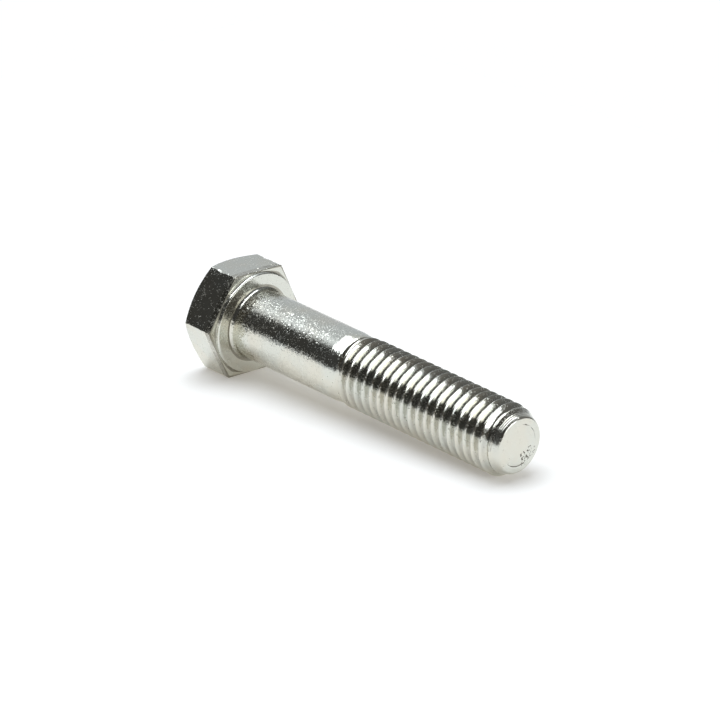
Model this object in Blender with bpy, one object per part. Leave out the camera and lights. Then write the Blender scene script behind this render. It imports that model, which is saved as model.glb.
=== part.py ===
"""Hex bolt, M12 x 60, with a plain shank and a coarse right-hand thread, as one solid body.

The bolt's axis is +X. The head's outer end face is at x = 0 and the thread's tip is at the
largest x. Two of the head's six flats face +Z and -Z.
"""
import math

import bmesh
import bpy

MM = 0.001

# Head
ACROSS_FLATS = 17.75 * MM
HEX_HEIGHT = 6.60 * MM
CHAMFER_CIRCLE_R = 8.80 * MM
CHAMFER_SLOPE = math.tan(math.radians(30.0))

# Washer face under the head, and the fillet into the shank
WASHER_THICKNESS = 0.60 * MM
WASHER_OUTER_R = 8.60 * MM
WASHER_RIM_R = 8.50 * MM
FILLET_R = 1.30 * MM
FILLET_TURN = math.radians(42.0)
FILLET_STEPS = 4

# Shank. Lengths are measured from the bearing face.
SHANK_R = 5.90 * MM
PLAIN_LENGTH = 22.00 * MM
BOLT_LENGTH = 60.00 * MM

# Thread
PITCH = 1.75 * MM
CREST_R = 5.95 * MM
ROOT_R = 4.87 * MM
CREST_WIDTH = PITCH / 10.0
ROOT_WIDTH = PITCH / 6.0
FLANK_WIDTH = (PITCH - CREST_WIDTH - ROOT_WIDTH) / 2.0
THREAD_PHASE = 0.455

# The neck, where the shank narrows and the crests rise and the roots sink out of it
NECK_SLOPE = 0.11
BLANK_R = 5.45 * MM
CREST_FADE = (23.70 * MM, 25.60 * MM)
ROOT_FADE = (23.80 * MM, 25.10 * MM)

# Tip: the roots run out into a cone, then lengths and radii lead down to the flat end face
RUNOUT_START = 57.70 * MM
CONE_START = (57.40 * MM, 6.02 * MM)
CONE_END = (58.85 * MM, 5.06 * MM)
TIP_PROFILE = ((59.55 * MM, 4.88 * MM), (59.88 * MM, 4.70 * MM), (60.00 * MM, 4.52 * MM))

SEGMENTS = 48
SHARP_ANGLE = math.radians(28.0)
MERGE_DISTANCE = 0.00001

BEARING_X = HEX_HEIGHT + WASHER_THICKNESS
HELIX_START_X = BEARING_X + PLAIN_LENGTH
THREAD_END_X = BEARING_X + CONE_END[0]
TIP_X = BEARING_X + BOLT_LENGTH


def clear_scene():
    """Remove every object already in the scene."""
    for item in list(bpy.data.objects):
        bpy.data.objects.remove(item, do_unlink=True)


def metal(name, colour, roughness, metallic):
    """Return a Principled material."""
    made = bpy.data.materials.new(name)
    made.use_nodes = True
    shader = made.node_tree.nodes["Principled BSDF"]
    shader.inputs["Base Color"].default_value = (*colour, 1.0)
    shader.inputs["Roughness"].default_value = roughness
    shader.inputs["Metallic"].default_value = metallic
    made.diffuse_color = (*colour, 1.0)
    return made


def angle_of(step):
    """Return the angle about the axis of one of the evenly spaced segments."""
    return 2.0 * math.pi * step / SEGMENTS


def point(x, radius, step):
    """Return the position at a distance along the axis, a radius and a segment."""
    turn = angle_of(step)
    return (x, radius * math.cos(turn), radius * math.sin(turn))


def hexagon_radius(step):
    """Return the distance from the axis to the hexagon at a segment."""
    side = math.pi / 3.0
    from_flat = angle_of(step) % side - side / 2.0
    return ACROSS_FLATS / 2.0 / math.cos(from_flat)


def clamp(value, low, high):
    """Keep a value between two limits."""
    return max(low, min(high, value))


def smooth_rise(value):
    """Rise smoothly from 0 to 1 as the value goes from 0 to 1."""
    held = clamp(value, 0.0, 1.0)
    return held * held * (3.0 - 2.0 * held)


def round_ring(mesh, x, radius):
    """Add a circle of points square to the axis."""
    return [mesh.verts.new(point(x, radius, step)) for step in range(SEGMENTS)]


def hexagon_ring(mesh, x_at):
    """Add points on the hexagon, each at the distance that x_at gives for its radius."""
    ring = []
    for step in range(SEGMENTS):
        radius = hexagon_radius(step)
        ring.append(mesh.verts.new(point(x_at(radius), radius, step)))
    return ring


def bridge(mesh, near, far):
    """Join two rings of points with four-sided faces."""
    for step in range(SEGMENTS):
        after = (step + 1) % SEGMENTS
        mesh.faces.new((near[step], near[after], far[after], far[step]))


def close_with_fan(mesh, ring, x):
    """Fill a ring with triangles that meet at a point on the axis."""
    centre = mesh.verts.new((x, 0.0, 0.0))
    for step in range(SEGMENTS):
        mesh.faces.new((ring[step], ring[(step + 1) % SEGMENTS], centre))


def head_rings(mesh):
    """Add the head's rings: end face, chamfered hexagon and underside."""
    end_face = round_ring(mesh, 0.0, CHAMFER_CIRCLE_R)
    chamfer = hexagon_ring(mesh, lambda radius: (radius - CHAMFER_CIRCLE_R) * CHAMFER_SLOPE)
    underside = hexagon_ring(mesh, lambda radius: HEX_HEIGHT)
    return [end_face, chamfer, underside]


def collar_rings(mesh):
    """Add the washer face's rings, the fillet's and the end of the plain shank's."""
    rings = [
        round_ring(mesh, HEX_HEIGHT, WASHER_OUTER_R),
        round_ring(mesh, BEARING_X, WASHER_RIM_R),
    ]
    for step in range(FILLET_STEPS + 1):
        turn = FILLET_TURN * (1.0 - step / FILLET_STEPS)
        x = BEARING_X + FILLET_R * (math.sin(FILLET_TURN) - math.sin(turn))
        radius = SHANK_R + FILLET_R * (1.0 - math.cos(turn))
        rings.append(round_ring(mesh, x, radius))
    rings.append(round_ring(mesh, HELIX_START_X, SHANK_R))
    return rings


def blank_radius(x):
    """Return the radius of the bar before the thread is formed on it."""
    return max(BLANK_R, SHANK_R - NECK_SLOPE * (x - HELIX_START_X))


def thread_radius(x, full_radius):
    """Return the radius of the thread's surface, which rises from the neck and ends on the cone."""
    length = x - BEARING_X
    start, end = CREST_FADE if full_radius == CREST_R else ROOT_FADE
    fade = smooth_rise((length - start) / (end - start))
    blank = blank_radius(x)
    radius = blank + (full_radius - blank) * fade
    past_start = (length - CONE_START[0]) / (CONE_END[0] - CONE_START[0])
    cone = CONE_START[1] + (CONE_END[1] - CONE_START[1]) * past_start
    cut = min(radius, cone)
    runout = smooth_rise((length - RUNOUT_START) / (CONE_END[0] - RUNOUT_START))
    return cut + (cone - cut) * runout


def profile_points():
    """Return one pitch of the thread as distances from a crest's middle and full radii."""
    crest_end = CREST_WIDTH / 2.0
    return [
        (-crest_end, CREST_R),
        (crest_end, CREST_R),
        (crest_end + FLANK_WIDTH, ROOT_R),
        (crest_end + FLANK_WIDTH + ROOT_WIDTH, ROOT_R),
    ]


def helix_rows(mesh):
    """Add the thread's rows: each follows one line of the profile for a full turn.

    A row has one point more than the segments, and its last point is where the row one
    pitch further on starts. Points before the thread's start and after its end are held there.
    """
    profile = profile_points()
    turns = math.ceil((THREAD_END_X - HELIX_START_X) / PITCH) + 1
    rows = []
    for turn in range(-2, turns):
        for offset, full_radius in profile:
            row_x = HELIX_START_X + offset + (turn + THREAD_PHASE) * PITCH
            row = []
            for step in range(SEGMENTS + 1):
                x = clamp(row_x + PITCH * step / SEGMENTS, HELIX_START_X, THREAD_END_X)
                row.append(mesh.verts.new(point(x, thread_radius(x, full_radius), step)))
            rows.append(row)
    return rows


def tip_rings(mesh):
    """Add the rings between the thread's end and the end face."""
    rings = [round_ring(mesh, THREAD_END_X, CONE_END[1])]
    for length, radius in TIP_PROFILE:
        rings.append(round_ring(mesh, BEARING_X + length, radius))
    return rings


def bridge_rings(mesh, rings):
    """Join each ring with the next."""
    for near, far in zip(rings, rings[1:]):
        bridge(mesh, near, far)


def bridge_rows(mesh, rows):
    """Join neighbouring rows of the thread with four-sided faces."""
    for near, far in zip(rows, rows[1:]):
        for step in range(SEGMENTS):
            mesh.faces.new((near[step], near[step + 1], far[step + 1], far[step]))


def bolt_mesh():
    """Return the whole bolt as one closed mesh."""
    mesh = bmesh.new()
    head = head_rings(mesh) + collar_rings(mesh)
    tip = tip_rings(mesh)
    close_with_fan(mesh, head[0], 0.0)
    bridge_rings(mesh, head)
    bridge_rows(mesh, helix_rows(mesh))
    bridge_rings(mesh, tip)
    close_with_fan(mesh, tip[-1], TIP_X)
    bmesh.ops.remove_doubles(mesh, verts=mesh.verts[:], dist=MERGE_DISTANCE)
    bmesh.ops.recalc_face_normals(mesh, faces=mesh.faces[:])
    return mesh


def add_part(name, mesh, material):
    """Put a mesh into the scene as a named object with smooth round surfaces."""
    data = bpy.data.meshes.new(name)
    mesh.to_mesh(data)
    mesh.free()
    data.materials.append(material)
    made = bpy.data.objects.new(name, data)
    bpy.context.scene.collection.objects.link(made)
    data.shade_smooth()
    data.set_sharp_from_angle(angle=SHARP_ANGLE)
    return made


def build():
    """Build the bolt."""
    clear_scene()
    zinc = metal("bright_zinc", (0.66, 0.67, 0.66), 0.30, 1.0)
    add_part("hex_bolt", bolt_mesh(), zinc)


build()
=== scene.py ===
"""Looks of the hex bolt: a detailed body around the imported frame, a camera, a floor and light."""
import math

import bmesh
import bpy
import numpy as np
from mathutils import Matrix, Vector, noise


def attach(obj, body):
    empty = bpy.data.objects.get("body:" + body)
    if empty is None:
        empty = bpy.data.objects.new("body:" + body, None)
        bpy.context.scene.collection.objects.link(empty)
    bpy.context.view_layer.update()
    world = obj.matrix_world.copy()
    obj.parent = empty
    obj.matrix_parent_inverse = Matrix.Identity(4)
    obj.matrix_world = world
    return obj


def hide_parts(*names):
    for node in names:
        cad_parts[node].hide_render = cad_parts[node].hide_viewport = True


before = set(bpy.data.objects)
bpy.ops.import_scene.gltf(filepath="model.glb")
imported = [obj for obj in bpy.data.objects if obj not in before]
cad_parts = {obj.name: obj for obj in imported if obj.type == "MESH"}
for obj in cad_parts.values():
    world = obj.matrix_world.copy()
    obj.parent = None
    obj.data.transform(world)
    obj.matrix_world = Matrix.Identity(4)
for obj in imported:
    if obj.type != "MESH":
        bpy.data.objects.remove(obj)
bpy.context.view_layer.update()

MM = 0.001

# Head, in millimetres like every length below. The trimmed band starts at a share of the flats'
# length, and the painted shade at a share of the way in from the underside's edge to the washer
# face.
ACROSS_FLATS = 17.75
HEX_HEIGHT = 6.60
CHAMFER_CIRCLE_R = 8.80
CHAMFER_TAN = math.tan(math.radians(30.0))
CHAMFER_ROUND = 0.16
CORNER_ROUND = 0.42
TRIMMED_FROM = 0.82
PAINTED_SHADE_FROM = 0.70
WASHER_FOOT = 0.08
WASHER_THICKNESS = 0.60
WASHER_OUTER_R = 8.60
FILLET_R = 1.30
FILLET_TURN = math.radians(42.0)
BEARING_X = HEX_HEIGHT + WASHER_THICKNESS

# The hexagon's rounded lower edge, as insets and distances from the underside
LOWER_EDGE = ((0.01, 0.07), (0.035, 0.03), (0.075, 0.005), (0.12, 0.0))

# Shank and thread
SHANK_R = 5.90
TIP_X = BEARING_X + 60.0
SMOOTH_START_X = 29.2
NECK_SLOPE = 0.11
NECK_ROUND = 0.03
BLANK_R = 5.45
CREST_FADE = (30.9, 32.8)
ROOT_FADE = (31.0, 32.3)
PITCH = 1.75
CREST_R = 5.95
ROOT_R = 4.87
HALF_CREST = PITCH / 26.0
FLANK_SLOPE = 1.0 / math.tan(math.radians(30.0))
CREST_ROUND_TO_TIP = 0.06
CREST_ROUND_TO_HEAD = 0.15
ROOT_ROUND = 0.12
CUT_ROUND = 0.10
THREAD_PHASE = 0.455
THREAD_END_X = 65.8
RUNOUT_START_X = 64.9

# Tip: the radii of its chamfer at some lengths, its turned ridges as a length and a height,
# and the shallow ring turned into the end face, which is deeper on two sides, each given as
# an angle in degrees, a power and a share
TIP_XS = (64.60, 66.05, 66.75, 67.08, 67.20)
TIP_RS = (6.02, 5.06, 4.88, 4.70, 4.52)
TIP_ROWS = 27
TIP_RIDGES = ((66.20, 0.085), (66.52, 0.075))
RIDGE_WIDTH = 0.08
RIDGE_ANGLE = math.radians(120.0)
RING_R = 3.52
RING_WIDTH = 0.11
RING_DEPTH = 0.05
RING_LEAST = 0.15
RING_SIDES = ((35.0, 2, 0.55), (264.0, 4, 0.85))

# Light
OVERHEAD_LIGHT = 3.8
SIDE_LIGHT = 4.8
WALL_LIGHT = 0.56
WALL_DARK = 0.11
HALO_LIGHT = 0.66
DARK_ROOM = 0.045
BACKDROP_LIGHT = 1.05

# The edges between which each softbox's light rises, and then falls. The one overhead and its
# halo lie along and across a ceiling one unit up. The other goes by its heading, in degrees,
# and its height.
OVERHEAD_ALONG = (-0.68, -0.61, 0.0, 0.12)
OVERHEAD_ACROSS = (-0.86, -0.72, 0.50, 0.62)
HALO_ALONG = (-1.6, -0.9, -0.66, -0.60)
HALO_ACROSS = (-0.82, -0.30, -0.25, 0.15)
SIDE_HEADING = (-10.0, -3.0, 29.0, 36.0)
SIDE_HEIGHT = (0.16, 0.24, 0.46, 0.56)
CEILING_LEAST = 0.02

# The wall fades between two turns in degrees, and brightens between two places along the axis
WALL_TURN = (122.0, 84.0)
WALL_ALONG = (0.10, -0.40)

# The tints of the room towards the head and beyond the tip, and of the softboxes
ROOM_TINT = (1.0, 1.0, 0.98)
WARM_TINT = (1.14, 1.0, 0.80)
COOL_TINT = (0.955, 1.0, 1.05)
WARM_ALONG = (0.4, 0.9)

# Floor: its half side, its gap below the head's lowest edge, and how pale it is
FLOOR_HALF_SIDE = 150.0
FLOOR_GAP = 0.02
FLOOR_SHADE = 0.78
FLOOR_GLOW = 0.24
FLOOR_TINT = (1.06, 1.0, 0.90)

# Camera: degrees, then millimetres
CAMERA_ANGLES = (44.23, 22.42, 4.71)
CAMERA_DISTANCE = 748.7
CAMERA_SHIFT = (-3.793, 3.511)
CAMERA_TARGET = (36.91, 0.0, 0.0)
LENS = 234.6
SENSOR = 36.0

# Grid
SECTOR_COLUMNS = 38
SHANK_STEP = 0.55

# Zones of the surface, in the order of the material slots
# The last zone is darker zinc: painted shade in the corners under the head.
FORGED, TRIMMED, SHANK, ROLLED, TURNED, WORN, FACED, PAINTED_SHADE = range(8)

# Unevenness of a zone: the zone, the size of the lumps and their height
UNEVENNESS = ((SHANK, 1.8, 0.010), (ROLLED, 1.1, 0.010), (TRIMMED, 0.34, 0.040))

# The plating: how wide its clouds of tint and of roughness are, its bumps, its pits, which sink
# where the noise is above the first edge, and how much rougher its dull grains are
CLOUD_SIZE = 5.0
CLOUD_EDGES = (0.35, 0.65)
SHEEN_SIZE = 1.1
SHEEN_EDGES = (0.3, 0.7)
BUMP_SIZE = 0.4
BUMP_HEIGHT = 0.008
PIT_SIZE = 0.34
PIT_DEPTH = 0.012
PIT_EDGES = (0.66, 0.76)
DULL_GRAIN = 0.20

# Painted shade down in the thread, a darker colour towards the roots: the radii where it starts
# and is darkest, the lengths it spans, and the share of the colour that it leaves
ROOT_SHADE_RADII = (5.80, 5.35)
ROOT_SHADE_XS = (31.6, 33.0, 64.4, 65.2)
ROOT_SHADE_LEFT = 0.80

# Where the shank's grain fades, and the share of it that is left
CALM_START_X = 24.5
CALM_END_X = 28.5
CALM_GRAIN = 0.4

# Nicks in the hexagon's edges, torn marks on the tip's chamfer and nicks in its end face
EDGE_NICK_WIDTH = 0.035
EDGE_NICK_DEPTH = 0.16
TORN_XS = (64.3, 65.0, 65.9, 66.3)
TORN_DEPTH = 0.055
END_NICKS_ANGLE = math.radians(315.0)
END_NICKS_REACH = (math.radians(20.0), math.radians(40.0))
END_NICKS_RS = (1.6, 2.4, 3.9, 4.3)
END_NICK_DEPTH = 0.30

# Ding on the fillet
DING_ANGLE = math.radians(162.0)
DING_X = 7.40
DING_HEIGHT = 0.07

# Points closer than this, in metres, are one
MERGE_DISTANCE = 0.0000015


# ---------------------------------------------------------------- shape

def column_angles():
    """Return the angles of the grid's columns, packed closer at the hexagon's corners."""
    angles = []
    for sector in range(6):
        middle = math.radians(60.0 * sector + 30.0)
        for column in range(SECTOR_COLUMNS):
            share = -1.0 + 2.0 * column / SECTOR_COLUMNS
            angles.append(middle + math.radians(30.0) * math.sin(0.5 * math.pi * share))
    angles.append(angles[0] + 2.0 * math.pi)
    return np.array(angles)


ANGLES = column_angles()
FROM_FLAT = np.abs((ANGLES % (math.pi / 3.0)) - math.pi / 6.0)
TURN_SHARE = ANGLES / (2.0 * math.pi)
RIDGE_SHARE = np.clip(np.cos(ANGLES - RIDGE_ANGLE), 0.0, 1.0)


def hexagon(inset):
    """Return the radius of a hexagon with rounded corners, drawn in by an inset, at each column."""
    apothem = ACROSS_FLATS / 2.0 - inset
    centre = (apothem - CORNER_ROUND) / math.cos(math.pi / 6.0)
    from_corner = math.pi / 6.0 - FROM_FLAT
    flat = apothem / np.cos(FROM_FLAT)
    across = np.clip(CORNER_ROUND ** 2 - (centre * np.sin(from_corner)) ** 2, 0.0, None)
    rounded = centre * np.cos(from_corner) + np.sqrt(across)
    on_corner = apothem * np.tan(FROM_FLAT) > (apothem - CORNER_ROUND) * math.tan(math.pi / 6.0)
    return np.where(on_corner, rounded, flat)


def smooth_min(a, b, reach):
    """Return the smaller of two values, with their meeting rounded over a reach."""
    near = np.clip(reach - np.abs(a - b), 0.0, None) / reach
    return np.minimum(a, b) - near * near * reach / 4.0


def rise(x, start, end):
    """Rise smoothly from 0 at start to 1 at end."""
    share = np.clip((x - start) / (end - start), 0.0, 1.0)
    return share * share * (3.0 - 2.0 * share)


def plateau(x, edges):
    """Rise from 0 to 1 between the first two edges and fall back to 0 between the last two."""
    return rise(x, edges[0], edges[1]) * (1.0 - rise(x, edges[2], edges[3]))


class Rows:
    """The grid's rows, from the middle of the head's end face to the middle of the tip's."""

    def __init__(self):
        self.x = []
        self.r = []
        self.zone = []

    def add(self, x, r, zone):
        """Add a row. x and r are one number or one for each column."""
        self.x.append(np.broadcast_to(np.asarray(x, float), ANGLES.shape).copy())
        self.r.append(np.broadcast_to(np.asarray(r, float), ANGLES.shape).copy())
        self.zone.append(zone)


def add_head(rows):
    """Add the end face, the chamfer, the flats and the underside."""
    for radius in (0.02, 3.0, 6.0, 7.6, 8.4):
        rows.add(0.0, radius, FORGED)
    outline = hexagon(0.0)
    edge_x = (outline - CHAMFER_CIRCLE_R) * CHAMFER_TAN

    def side(x):
        cone = CHAMFER_CIRCLE_R + x / CHAMFER_TAN
        return smooth_min(outline, cone, CHAMFER_ROUND)

    rows.add(0.0, side(0.0) - 0.08, FORGED)
    for share in (0.12, 0.45, 0.75, 0.92, 1.0, 1.08):
        x = edge_x * share + 0.02
        rows.add(x, side(x), FORGED)
    low = edge_x * 1.08 + 0.02
    shares = [0.02, 0.05] + list(np.linspace(0.09, 0.79, 20))
    shares += list(np.linspace(0.81, 0.985, 14))
    for share in shares:
        x = low + (HEX_HEIGHT - low) * share
        zone = TRIMMED if share > TRIMMED_FROM else FORGED
        rows.add(x, side(x), zone)
    # The hexagon's lower edge, and the underside next to the washer face, get darker zinc: painted
    # shade, which also dims the reflections there.
    for inset, drop in LOWER_EDGE:
        rows.add(HEX_HEIGHT - drop, hexagon(inset), PAINTED_SHADE)
    outer = hexagon(LOWER_EDGE[-1][0])
    for share in (0.15, 0.35, 0.55, 0.75, 0.88, 0.96):
        zone = PAINTED_SHADE if share > PAINTED_SHADE_FROM else FACED
        rows.add(HEX_HEIGHT, outer + (WASHER_OUTER_R + WASHER_FOOT - outer) * share, zone)


def add_collar(rows):
    """Add the washer face, the fillet and the plain shank."""
    rows.add(HEX_HEIGHT + 0.02, WASHER_OUTER_R + 0.03, FORGED)
    rows.add(HEX_HEIGHT + 0.06, WASHER_OUTER_R + 0.01, FORGED)
    rows.add(HEX_HEIGHT + 0.20, WASHER_OUTER_R, FORGED)
    rows.add(BEARING_X - 0.20, WASHER_OUTER_R - 0.03, FORGED)
    rows.add(BEARING_X - 0.06, WASHER_OUTER_R - 0.09, FORGED)
    rows.add(BEARING_X - 0.015, WASHER_OUTER_R - 0.14, FACED)
    rows.add(BEARING_X, WASHER_OUTER_R - 0.18, FACED)
    inner = SHANK_R + FILLET_R * (1.0 - math.cos(FILLET_TURN))
    for radius in (WASHER_OUTER_R - 0.32, 8.0, 7.7, 7.4, 7.1, 6.8):
        rows.add(BEARING_X, radius, FACED)
    # The washer face next to the fillet gets darker zinc: painted shade in the corner.
    for beyond in (0.40, 0.20, 0.015):
        rows.add(BEARING_X, inner + beyond, PAINTED_SHADE)
    for share in (0.0, 0.02, 0.14, 0.28, 0.42, 0.56, 0.70, 0.85, 1.0):
        turn = FILLET_TURN * (1.0 - share)
        x = BEARING_X + FILLET_R * (math.sin(FILLET_TURN) - math.sin(turn)) + 0.005
        rows.add(x, SHANK_R + FILLET_R * (1.0 - math.cos(turn)), FORGED)
    start = BEARING_X + FILLET_R * math.sin(FILLET_TURN) + 0.12
    count = int((SMOOTH_START_X - start) / SHANK_STEP)
    for x in np.linspace(start, SMOOTH_START_X - 0.05, count):
        rows.add(x, SHANK_R, SHANK)


def thread_profile():
    """Return one pitch of the thread as distances from a crest's middle and radii."""
    def flank(distance, crest_round):
        line = CREST_R - FLANK_SLOPE * (distance - HALF_CREST)
        rounded = smooth_min(line, CREST_R, crest_round)
        return float(-smooth_min(-rounded, -ROOT_R, ROOT_ROUND))

    to_tip = (0.0, 0.04, 0.065, 0.09, 0.14, 0.40, 0.65, 0.76, PITCH / 2.0)
    to_head = (0.72, 0.20, 0.09)
    points = [(distance, flank(distance, CREST_ROUND_TO_TIP)) for distance in to_tip]
    points += [(PITCH - distance, flank(distance, CREST_ROUND_TO_HEAD)) for distance in to_head]
    return points


def blank_radius(x):
    """Return the radius of the bar before the thread is rolled on it."""
    cone = SHANK_R - NECK_SLOPE * (x - SMOOTH_START_X)
    return np.maximum(smooth_min(cone, SHANK_R, NECK_ROUND), BLANK_R)


def tip_radius(x):
    """Return the radius that the tip's chamfer leaves, with its faint turned ridges."""
    radius = np.interp(x, TIP_XS, TIP_RS)
    for middle, height in TIP_RIDGES:
        radius = radius + height * RIDGE_SHARE * np.exp(-((x - middle) / RIDGE_WIDTH) ** 2)
    return radius


def add_thread(rows):
    """Add the thread's rows. Each follows one line of the profile for a full turn."""
    profile = thread_profile()
    turns = math.ceil((THREAD_END_X - SMOOTH_START_X) / PITCH) + 1
    for turn in range(-1, turns):
        for offset, full_radius in profile:
            x = SMOOTH_START_X + offset + (turn + THREAD_PHASE + TURN_SHARE) * PITCH
            x = np.clip(x, SMOOTH_START_X, THREAD_END_X)
            blank = blank_radius(x)
            grown = full_radius - blank
            fade = np.where(grown > 0.0, rise(x, *CREST_FADE), rise(x, *ROOT_FADE))
            radius = smooth_min(blank + grown * fade, tip_radius(x), CUT_ROUND)
            radius = radius + (tip_radius(x) - radius) * rise(x, RUNOUT_START_X, THREAD_END_X)
            rows.add(x, radius, ROLLED)


def ring_share():
    """Return how deep the end face's turned ring is at each column, from 0 to 1."""
    depth = RING_LEAST
    for angle, power, share in RING_SIDES:
        beside = np.clip(np.cos(ANGLES - math.radians(angle)), 0.0, 1.0)
        depth = depth + share * beside ** power
    return depth


def add_tip(rows):
    """Add the chamfer's end and the flat end face with its shallow turned ring."""
    for x in np.linspace(THREAD_END_X + 0.06, TIP_X, TIP_ROWS):
        rows.add(x, tip_radius(x), TURNED)
    for radius in (4.46, 4.40, 4.30, 4.18, 4.06, 3.94, 3.84, 3.74, 3.64, 3.58, 3.52, 3.46,
                   3.40, 3.30, 3.16, 3.0, 2.8, 2.6, 2.4, 2.2, 1.6, 0.8, 0.02):
        depth = RING_DEPTH * math.exp(-((radius - RING_R) / RING_WIDTH) ** 2)
        rows.add(TIP_X - depth * ring_share(), radius, TURNED)


def noise_values(points, sizes, shift):
    """Return smooth noise between about -1 and 1 at points in millimetres.

    sizes are the lumps' widths along the axis and across it.
    """
    at = points / np.array([sizes[0], sizes[1], sizes[1]]) + shift
    flat = at.reshape(-1, 3)
    return np.array([noise.noise(Vector(point)) for point in flat]).reshape(at.shape[:-1])


def positions(x, r):
    """Return points in millimetres from distances along the axis and radii."""
    return np.stack([x, r * np.cos(ANGLES), r * np.sin(ANGLES)], axis=-1)


def roughen(x, r, zone):
    """Make the surfaces uneven, in place, and return the material slot at each point."""
    points = positions(x, r)
    slots = np.repeat(zone[:, None], x.shape[1], axis=1)
    for zone_id, size, height in UNEVENNESS:
        chosen = np.where(zone == zone_id)[0]
        r[chosen] += height * noise_values(points[chosen], (size, size), 7.3 * zone_id)
    nick_corners(points, r)
    tear_chamfer(points, r, slots)
    nick_end_face(points, x, r, slots)
    ding = np.exp(-((ANGLES - DING_ANGLE) / 0.03) ** 2) * np.exp(-((x - DING_X) / 0.20) ** 2)
    r += DING_HEIGHT * ding
    return slots


def nick_corners(points, r):
    """Knock small nicks into the hexagon's edges between the flats."""
    chosen = np.where((points[:, 0, 0] > 0.3) & (points[:, 0, 0] < HEX_HEIGHT - 0.2))[0]
    corner = np.exp(-((math.pi / 6.0 - FROM_FLAT) / EDGE_NICK_WIDTH) ** 2)
    knocks = np.clip(noise_values(points[chosen], (0.45, 0.9), 3.1), -0.7, 0.1)
    r[chosen] += EDGE_NICK_DEPTH * corner * (knocks - 0.1)


def tear_chamfer(points, r, slots):
    """Leave torn turning marks, part of them dark, where the thread runs out at the tip."""
    x = points[..., 0]
    share = plateau(x, TORN_XS) * (0.25 + 0.75 * RIDGE_SHARE)
    chosen = np.where(share.max(axis=1) > 0.0)[0]
    marks = noise_values(points[chosen], (0.15, 1.1), 11.9)
    r[chosen] += TORN_DEPTH * share[chosen] * np.minimum(marks, 0.15)
    slots[chosen] = np.where((share[chosen] > 0.6) & (marks < 0.12), TRIMMED, slots[chosen])


def nick_end_face(points, x, r, slots):
    """Press nicks into the end face, and darken them and the turned ring."""
    chosen = np.where((points[:, 0, 0] > TIP_X - 0.06) & (r[:, 0] < 4.45))[0]
    turn = np.abs((ANGLES - END_NICKS_ANGLE + math.pi) % (2.0 * math.pi) - math.pi)
    beside = 1.0 - rise(turn, *END_NICKS_REACH)
    across = plateau(r[chosen], END_NICKS_RS)
    knocks = np.clip(noise_values(points[chosen], (1.0, 0.34), 5.7) - 0.06, 0.0, 0.5)
    depth = END_NICK_DEPTH * beside * across * knocks
    x[chosen] -= depth
    ring = np.exp(-((r[chosen] - RING_R) / RING_WIDTH) ** 2) * ring_share()
    patches = noise_values(points[chosen], (1.0, 0.8), 2.2)
    worn = (depth > 0.038) | (ring * (1.0 + patches) > 0.52)
    slots[chosen] = np.where(worn, WORN, slots[chosen])


def grid_mesh(rows):
    """Return the bolt's mesh, its faces carrying the zones as material slots."""
    x = np.array(rows.x)
    r = np.array(rows.r)
    zone = np.array(rows.zone)
    slots = roughen(x, r, zone)[:-1, :-1]
    x[0], x[-1] = 0.0, TIP_X
    points = positions(x, r) * MM
    row_count, column_count = x.shape
    index = np.arange(row_count * column_count).reshape(row_count, column_count)
    quads = np.stack([index[:-1, :-1], index[:-1, 1:], index[1:, 1:], index[1:, :-1]], axis=-1)
    mesh = bpy.data.meshes.new("bolt_body")
    mesh.from_pydata(points.reshape(-1, 3).tolist(), [], quads.reshape(-1, 4).tolist())
    mesh.polygons.foreach_set("material_index", slots.ravel().astype(np.int32))
    work = bmesh.new()
    work.from_mesh(mesh)
    bmesh.ops.remove_doubles(work, verts=work.verts[:], dist=MERGE_DISTANCE)
    ends = [edge for edge in work.edges if edge.is_boundary]
    bmesh.ops.holes_fill(work, edges=ends, sides=0)
    bmesh.ops.recalc_face_normals(work, faces=work.faces[:])
    work.to_mesh(mesh)
    work.free()
    mesh.shade_smooth()
    return mesh


def build_bolt():
    """Build the bolt's visible body."""
    rows = Rows()
    add_head(rows)
    add_collar(rows)
    add_thread(rows)
    add_tip(rows)
    bolt = bpy.data.objects.new("bolt_body", grid_mesh(rows))
    bpy.context.scene.collection.objects.link(bolt)
    return bolt


# ---------------------------------------------------------------- materials

def maths(tree, operation, a, b=None):
    """Add a maths node on one or two sockets or numbers and return its output."""
    made = tree.nodes.new("ShaderNodeMath")
    made.operation = operation
    for socket, value in zip(made.inputs, (a, b)):
        if value is None:
            continue
        if isinstance(value, (int, float)):
            socket.default_value = value
        else:
            tree.links.new(value, socket)
    return made.outputs["Value"]


def ramp(tree, value, start, end):
    """Return a smooth rise from 0 at start to 1 at end of a socket's value."""
    made = tree.nodes.new("ShaderNodeMapRange")
    made.interpolation_type = "SMOOTHSTEP"
    made.inputs["From Min"].default_value = start
    made.inputs["From Max"].default_value = end
    made.inputs["To Min"].default_value = 0.0
    made.inputs["To Max"].default_value = 1.0
    if start > end:
        made.inputs["From Min"].default_value = end
        made.inputs["From Max"].default_value = start
        made.inputs["To Min"].default_value = 1.0
        made.inputs["To Max"].default_value = 0.0
    tree.links.new(value, made.inputs["Value"])
    return made.outputs["Result"]


def multiply(tree, first, second):
    """Multiply two sockets or numbers."""
    return maths(tree, "MULTIPLY", first, second)


def band(tree, value, edges):
    """Return a rise between the first two edges times a fall between the last two."""
    rising = ramp(tree, value, edges[0], edges[1])
    return multiply(tree, rising, ramp(tree, value, edges[3], edges[2]))


def axes_of(tree, place):
    """Return the x, y and z of a socket that holds a place or a direction."""
    parts = tree.nodes.new("ShaderNodeSeparateXYZ")
    tree.links.new(place, parts.inputs["Vector"])
    return [parts.outputs[axis] for axis in "XYZ"]


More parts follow.
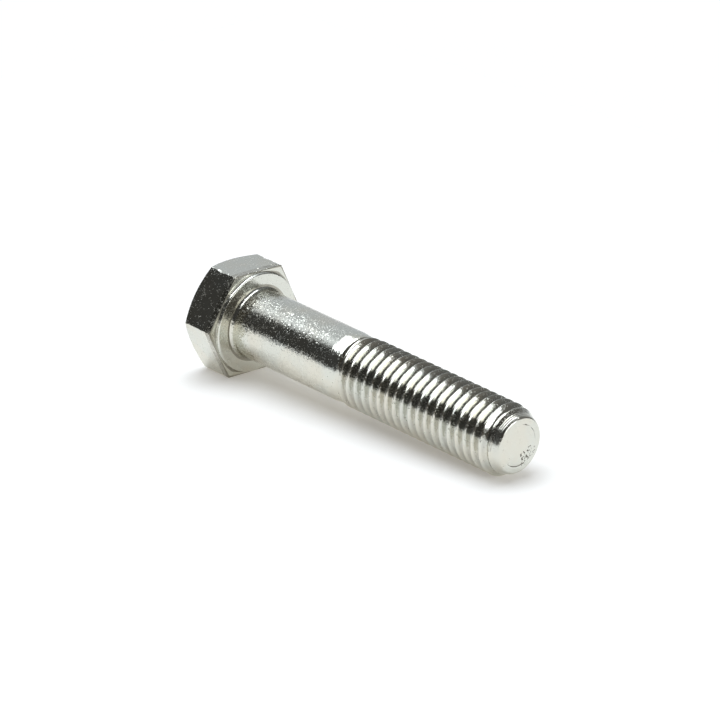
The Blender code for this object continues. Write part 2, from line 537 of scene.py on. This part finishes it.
def colour_mix(tree, first, second, factor):
    """Return the mix of two colours. The first is a triple or a socket and the second a triple."""
    mix = tree.nodes.new("ShaderNodeMix")
    mix.data_type = "RGBA"
    if isinstance(first, tuple):
        mix.inputs["A"].default_value = (*first, 1.0)
    else:
        tree.links.new(first, mix.inputs["A"])
    mix.inputs["B"].default_value = (*second, 1.0)
    tree.links.new(factor, mix.inputs["Factor"])
    return mix.outputs["Result"]


def noise_output(tree, place, size, detail):
    """Return noise whose lumps are about size millimetres across."""
    made = tree.nodes.new("ShaderNodeTexNoise")
    made.inputs["Scale"].default_value = 1000.0 / size
    made.inputs["Detail"].default_value = detail
    tree.links.new(place, made.inputs["Vector"])
    return made.outputs["Fac"]


def vector_maths(tree, operation, a, b=None):
    """Add a vector maths node on sockets, numbers or triples and return its output."""
    made = tree.nodes.new("ShaderNodeVectorMath")
    made.operation = operation
    second = made.inputs["Scale"] if operation == "SCALE" else made.inputs[1]
    for socket, value in ((made.inputs[0], a), (second, b)):
        if value is None:
            continue
        if isinstance(value, (tuple, float)):
            socket.default_value = value
        else:
            tree.links.new(value, socket)
    return made.outputs["Vector"]


def facetted(tree, place, normal, size, usual, strong, share, dull_share):
    """Return a normal tilted at random in each grain of the surface, and which grains are dull.

    size is a grain's width in millimetres. A share of the grains has the strong tilt. The grain
    fades towards the thread, where the bar was drawn smooth.
    """
    grains = tree.nodes.new("ShaderNodeTexVoronoi")
    grains.inputs["Scale"].default_value = 1000.0 / size
    tree.links.new(place, grains.inputs["Vector"])
    chance = tree.nodes.new("ShaderNodeTexWhiteNoise")
    tree.links.new(grains.outputs["Position"], chance.inputs["Vector"])
    marked = maths(tree, "GREATER_THAN", chance.outputs["Value"], 1.0 - share)
    amount = maths(tree, "ADD", multiply(tree, marked, strong - usual), usual)
    coarse = ramp(tree, axes_of(tree, place)[0], CALM_END_X * MM, CALM_START_X * MM)
    left = maths(tree, "ADD", multiply(tree, coarse, 1.0 - CALM_GRAIN), CALM_GRAIN)
    amount = multiply(tree, amount, left)
    tilt = vector_maths(tree, "SUBTRACT", grains.outputs["Color"], (0.5, 0.5, 0.5))
    tilt = vector_maths(tree, "SCALE", tilt, amount)
    tilted = vector_maths(tree, "NORMALIZE", vector_maths(tree, "ADD", normal, tilt))
    return tilted, maths(tree, "LESS_THAN", chance.outputs["Value"], dull_share)


def root_shade(tree, place):
    """Return the painted shade in the thread: the share of colour left, less towards its root."""
    x, y, z = axes_of(tree, place)
    square = maths(tree, "ADD", multiply(tree, y, y), multiply(tree, z, z))
    depth = ramp(tree, maths(tree, "SQRT", square), ROOT_SHADE_RADII[0] * MM, ROOT_SHADE_RADII[1] * MM)
    thickness = multiply(tree, depth, band(tree, x, [edge * MM for edge in ROOT_SHADE_XS]))
    return maths(tree, "SUBTRACT", 1.0, multiply(tree, thickness, 1.0 - ROOT_SHADE_LEFT))


def bump_normal(tree, value, height, normal=None):
    """Return a normal bumped by a socket's value, by a height in mm that may sink, on a normal."""
    bump = tree.nodes.new("ShaderNodeBump")
    bump.invert = height < 0.0
    bump.inputs["Distance"].default_value = abs(height) * MM
    tree.links.new(value, bump.inputs["Height"])
    if normal is not None:
        tree.links.new(normal, bump.inputs["Normal"])
    return bump.outputs["Normal"]


def zinc(name, roughness, colours, facets, shaded_roots=False):
    """Return a zinc-plated steel.

    roughness holds the least and the greatest, and colours the two that its clouds mix.
    facets are (size, usual tilt, strong tilt, share that is strong, share that is dull).
    A zinc with painted shade in the thread is darker in colour towards the roots.
    """
    made = bpy.data.materials.new(name)
    made.use_nodes = True
    tree = made.node_tree
    shader = tree.nodes["Principled BSDF"]
    shader.inputs["Metallic"].default_value = 1.0
    place = tree.nodes.new("ShaderNodeTexCoord").outputs["Object"]

    cloud = ramp(tree, noise_output(tree, place, CLOUD_SIZE, 2.0), *CLOUD_EDGES)
    colour = colour_mix(tree, colours[0], colours[1], cloud)
    # Painted shade: the colour darkens towards the thread's roots
    if shaded_roots:
        colour = vector_maths(tree, "SCALE", colour, root_shade(tree, place))
    tree.links.new(colour, shader.inputs["Base Color"])

    spread = tree.nodes.new("ShaderNodeMapRange")
    spread.inputs["From Min"].default_value = SHEEN_EDGES[0]
    spread.inputs["From Max"].default_value = SHEEN_EDGES[1]
    spread.inputs["To Min"].default_value = roughness[0]
    spread.inputs["To Max"].default_value = roughness[1]
    tree.links.new(noise_output(tree, place, SHEEN_SIZE, 4.0), spread.inputs["Value"])

    normal = bump_normal(tree, noise_output(tree, place, BUMP_SIZE, 2.0), BUMP_HEIGHT)
    pits = ramp(tree, noise_output(tree, place, PIT_SIZE, 1.0), *PIT_EDGES)
    normal = bump_normal(tree, pits, -PIT_DEPTH, normal)
    tilted, dull = facetted(tree, place, normal, *facets)
    tree.links.new(tilted, shader.inputs["Normal"])
    rough = maths(tree, "ADD", spread.outputs["Result"], multiply(tree, dull, DULL_GRAIN))
    tree.links.new(rough, shader.inputs["Roughness"])
    return made


def bolt_materials():
    """Return the materials in the order of the zones."""
    bright = ((0.670, 0.678, 0.620), (0.688, 0.670, 0.590))
    torn = ((0.54, 0.53, 0.47), (0.37, 0.355, 0.30))
    dull = ((0.22, 0.21, 0.18), (0.12, 0.11, 0.09))
    # Darker zinc for the corners under the head: painted shade
    painted_shade_colours = ((0.40, 0.385, 0.33), (0.30, 0.285, 0.235))
    return [
        zinc("zinc_forged", (0.11, 0.19), bright, (0.20, 0.03, 0.20, 0.10, 0.05)),
        zinc("zinc_trimmed", (0.12, 0.20), torn, (0.22, 0.26, 0.55, 0.22, 0.22)),
        zinc("zinc_shank", (0.10, 0.16), bright, (0.17, 0.10, 0.24, 0.24, 0.12)),
        # The rolled thread carries painted shade that darkens its roots
        zinc("zinc_rolled", (0.11, 0.19), bright, (0.20, 0.06, 0.35, 0.07, 0.03), True),
        zinc("zinc_turned", (0.14, 0.24), bright, (0.20, 0.04, 0.40, 0.05, 0.02)),
        zinc("zinc_worn", (0.30, 0.50), dull, (0.24, 0.10, 0.50, 0.10, 0.10)),
        zinc("zinc_faced", (0.17, 0.24), bright, (0.20, 0.03, 0.20, 0.06, 0.03)),
        # Darker zinc painted as shade into the corners under the head
        zinc("zinc_painted_shade", (0.28, 0.42), painted_shade_colours, (0.24, 0.05, 0.30, 0.08, 0.05)),
    ]


# ---------------------------------------------------------------- floor and light

def build_floor():
    """Lay a pale floor under the head's lowest edge and the thread's last crest."""
    rise_per_mm = (ACROSS_FLATS / 2.0 - CREST_R) / (TIP_XS[0] - HEX_HEIGHT)
    tilt = -math.atan(rise_per_mm)
    mesh = bpy.data.meshes.new("floor")
    size = FLOOR_HALF_SIDE * MM
    corners = [(-size, -size, 0.0), (size, -size, 0.0), (size, size, 0.0), (-size, size, 0.0)]
    mesh.from_pydata(corners, [], [(0, 1, 2, 3)])
    floor = bpy.data.objects.new("floor", mesh)
    bpy.context.scene.collection.objects.link(floor)
    floor.location = (HEX_HEIGHT * MM, 0.0, -(ACROSS_FLATS / 2.0 + FLOOR_GAP) * MM)
    floor.rotation_euler = (0.0, tilt, 0.0)
    pale = bpy.data.materials.new("floor_pale")
    pale.use_nodes = True
    shader = pale.node_tree.nodes["Principled BSDF"]
    shader.inputs["Base Color"].default_value = (FLOOR_SHADE, FLOOR_SHADE, FLOOR_SHADE, 1.0)
    shader.inputs["Roughness"].default_value = 0.9
    shader.inputs["Emission Color"].default_value = (*FLOOR_TINT, 1.0)
    shader.inputs["Emission Strength"].default_value = FLOOR_GLOW
    shader.inputs["Specular IOR Level"].default_value = 0.0
    mesh.materials.append(pale)


def degrees(tree, rise_by, run_by):
    """Return the angle whose tangent is one socket over another, in degrees."""
    return multiply(tree, maths(tree, "ARCTAN2", rise_by, run_by), 180.0 / math.pi)


def build_light():
    """Light the scene as a studio does: two softboxes, a grey wall and a dark room.

    The camera itself sees a white backdrop.
    """
    world = bpy.data.worlds.new("studio")
    bpy.context.scene.world = world
    world.use_nodes = True
    tree = world.node_tree
    background = tree.nodes["Background"]
    direction = tree.nodes.new("ShaderNodeTexCoord").outputs["Generated"]
    x, y, z = axes_of(tree, direction)

    # Softbox overhead, and its halo towards the head
    ceiling = maths(tree, "MAXIMUM", z, CEILING_LEAST)
    along = maths(tree, "DIVIDE", x, ceiling)
    across = maths(tree, "DIVIDE", y, ceiling)
    overhead = multiply(
        tree, band(tree, along, OVERHEAD_ALONG), band(tree, across, OVERHEAD_ACROSS))
    halo = multiply(tree, band(tree, along, HALO_ALONG), band(tree, across, HALO_ACROSS))

    # Second softbox, low beyond the thread's end
    heading = degrees(tree, y, x)
    side = multiply(tree, band(tree, heading, SIDE_HEADING), band(tree, z, SIDE_HEIGHT))

    # Grey wall on the far side, lighter towards the head
    turn = degrees(tree, z, y)
    to_head = ramp(tree, x, *WALL_ALONG)
    shade = maths(tree, "ADD", multiply(tree, to_head, WALL_LIGHT - WALL_DARK), WALL_DARK)
    wall = multiply(tree, ramp(tree, turn, *WALL_TURN), shade)

    level = maths(tree, "ADD", multiply(tree, overhead, OVERHEAD_LIGHT), wall)
    level = maths(tree, "ADD", level, multiply(tree, side, SIDE_LIGHT))
    level = maths(tree, "ADD", level, multiply(tree, halo, HALO_LIGHT))
    seen = tree.nodes.new("ShaderNodeLightPath").outputs["Is Camera Ray"]
    white = multiply(tree, seen, BACKDROP_LIGHT)
    strength = maths(tree, "MAXIMUM", maths(tree, "ADD", level, DARK_ROOM), white)
    tree.links.new(strength, background.inputs["Strength"])

    # The dark room is warm beyond the thread's end, and the boxes are a little cool
    room = colour_mix(tree, ROOM_TINT, WARM_TINT, ramp(tree, x, *WARM_ALONG))
    lit = maths(tree, "MAXIMUM", ramp(tree, level, 0.0, 0.35), seen)
    tint = colour_mix(tree, room, COOL_TINT, lit)
    tree.links.new(tint, background.inputs["Color"])


# ---------------------------------------------------------------- camera

def build_camera():
    """Place the camera: a long lens, turned and raised round a point on the bolt's axis."""
    azimuth, elevation, roll = (math.radians(angle) for angle in CAMERA_ANGLES)
    back = Vector((math.sin(azimuth) * math.cos(elevation),
                   -math.cos(azimuth) * math.cos(elevation), math.sin(elevation)))
    right = Vector((math.cos(azimuth), math.sin(azimuth), 0.0))
    up = back.cross(right)
    turned_right = right * math.cos(roll) + up * math.sin(roll)
    turned_up = up * math.cos(roll) - right * math.sin(roll)
    data = bpy.data.cameras.new("camera")
    data.lens = LENS
    data.sensor_width = SENSOR
    data.clip_start = 0.05
    data.clip_end = 50.0
    camera = bpy.data.objects.new("camera", data)
    bpy.context.scene.collection.objects.link(camera)
    place = Vector(CAMERA_TARGET) + back * CAMERA_DISTANCE
    place += turned_right * CAMERA_SHIFT[0] + turned_up * CAMERA_SHIFT[1]
    axes = Matrix((turned_right, turned_up, back)).transposed().to_4x4()
    camera.matrix_world = Matrix.Translation(place * MM) @ axes
    bpy.context.scene.camera = camera


bolt = build_bolt()
for material in bolt_materials():
    bolt.data.materials.append(material)
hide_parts("hex_bolt")
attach(bolt, "root")
build_floor()
build_light()
build_camera()
bpy.context.scene.view_settings.view_transform = "Standard"
